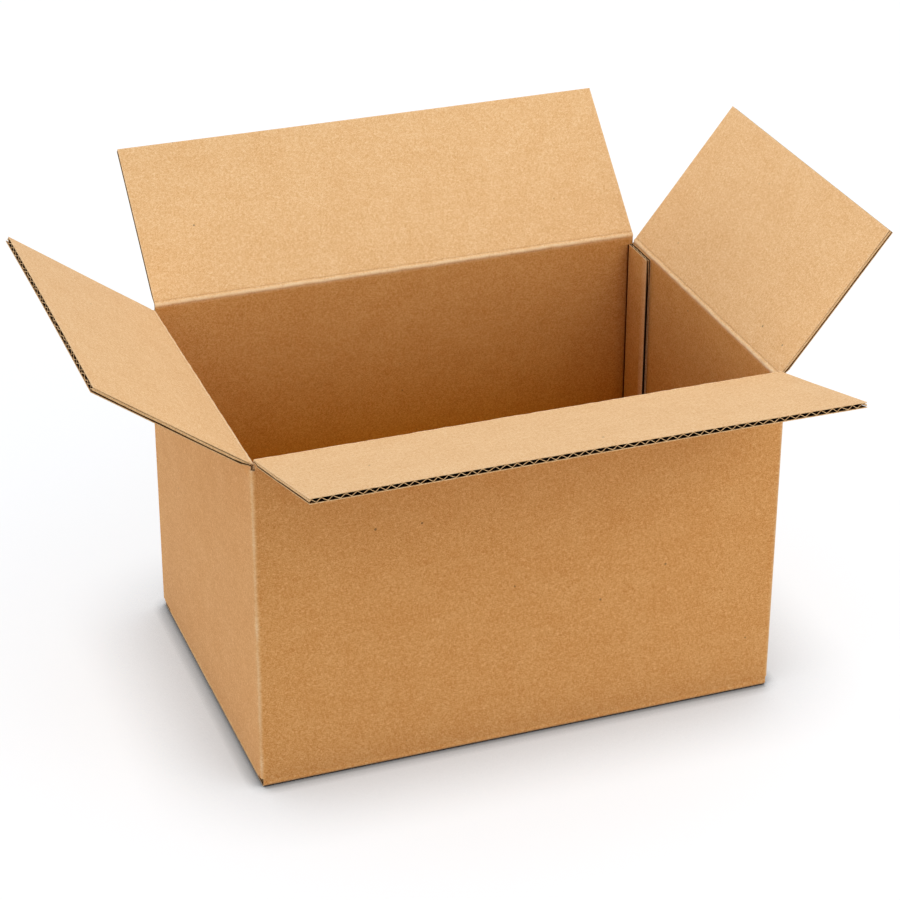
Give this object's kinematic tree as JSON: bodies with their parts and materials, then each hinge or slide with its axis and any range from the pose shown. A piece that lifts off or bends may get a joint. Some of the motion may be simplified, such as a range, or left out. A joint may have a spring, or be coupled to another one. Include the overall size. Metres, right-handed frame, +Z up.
{
  "type": "cardboard box",
  "caption": "Open slotted shipping box of kraft corrugated board, with a shut glued bottom and top flaps that turn on their pressed scores.",
  "frame": {"origin": "centre of the box's bottom, on the surface that it stands on", "axes": "+X along the length, to the right of the front wall; +Y from the front wall to the back wall; +Z up"},
  "size_m": [0.5839, 0.4879, 0.3617],
  "materials": {
    "kraft_board": "matte"
  },
  "bodies": {
    "box": {"box_body": "kraft_board"},
    "front": {"front_flap": "kraft_board"},
    "back": {"back_flap": "kraft_board"},
    "left": {"left_flap": "kraft_board"},
    "right": {"right_flap": "kraft_board"}
  },
  "joints": [
    {"name": "front_fold", "type": "hinge", "parent": "box", "child": "front", "pos_m": [0, -0.133, 0.2624], "axis": [1, 0, 0], "range_deg": [-164, 76]},
    {"name": "back_fold", "type": "hinge", "parent": "box", "child": "back", "pos_m": [0, 0.133, 0.2624], "axis": [-1, 0, 0], "range_deg": [-137, 103]},
    {"name": "left_fold", "type": "hinge", "parent": "box", "child": "left", "pos_m": [-0.198, 0, 0.258], "axis": [0, -1, 0], "range_deg": [-144, 96]},
    {"name": "right_fold", "type": "hinge", "parent": "box", "child": "right", "pos_m": [0.198, 0, 0.258], "axis": [0, 1, 0], "range_deg": [-128, 112]}
  ]
}
